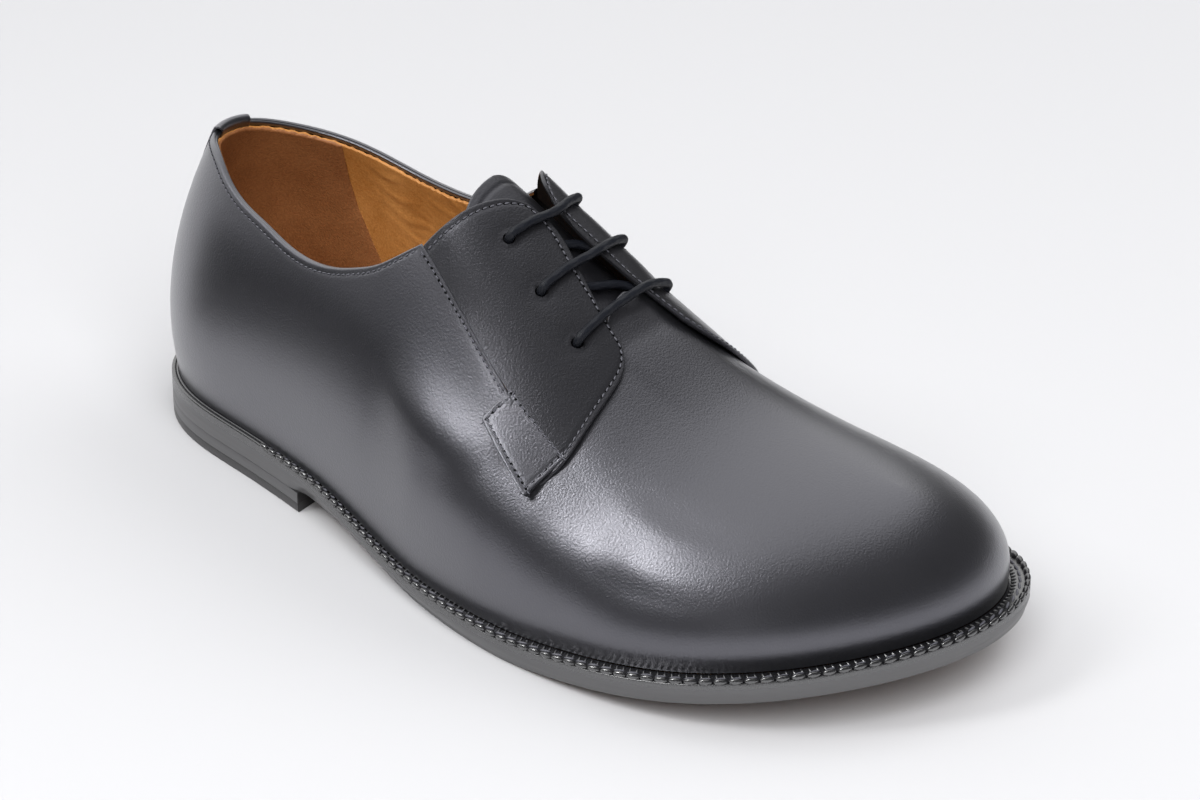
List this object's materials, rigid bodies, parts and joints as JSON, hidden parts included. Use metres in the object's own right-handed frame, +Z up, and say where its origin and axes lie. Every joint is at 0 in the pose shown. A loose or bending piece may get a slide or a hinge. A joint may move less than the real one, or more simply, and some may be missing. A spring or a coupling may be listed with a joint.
{
  "type": "derby dress shoe",
  "caption": "Right plain-toe derby dress shoe in black leather: open collar, laced facings over a tongue, welted leather sole and low heel.",
  "frame": {"origin": "centre of the bounding box's bottom face, on the floor", "axes": "+X from heel to toe, +Y to the inner side of the foot, +Z up"},
  "size_m": [0.2976, 0.1222, 0.1065],
  "materials": {
    "upper_leather": "satin polished",
    "facing_leather": "satin polished",
    "tab_leather": "satin polished",
    "tongue_leather": "satin",
    "strip_leather": "satin polished",
    "sole_leather": "dyed and polished edge",
    "welt_leather": "dyed and polished",
    "lift_leather": "dyed edge",
    "heel_rubber": "matte",
    "insole_leather": "natural",
    "lace_cotton": "waxed"
  },
  "bodies": {
    "root": {"outsole": "sole_leather", "heel_lift": "lift_leather", "heel_top_piece": "heel_rubber", "welt": "welt_leather", "insole": "insole_leather", "upper": "upper_leather", "tongue": "tongue_leather", "facing_lateral": "facing_leather", "facing_medial": "facing_leather", "tab_lateral": "tab_leather", "tab_medial": "tab_leather", "back_strip": "strip_leather", "lace": "lace_cotton"}
  },
  "joints": []
}
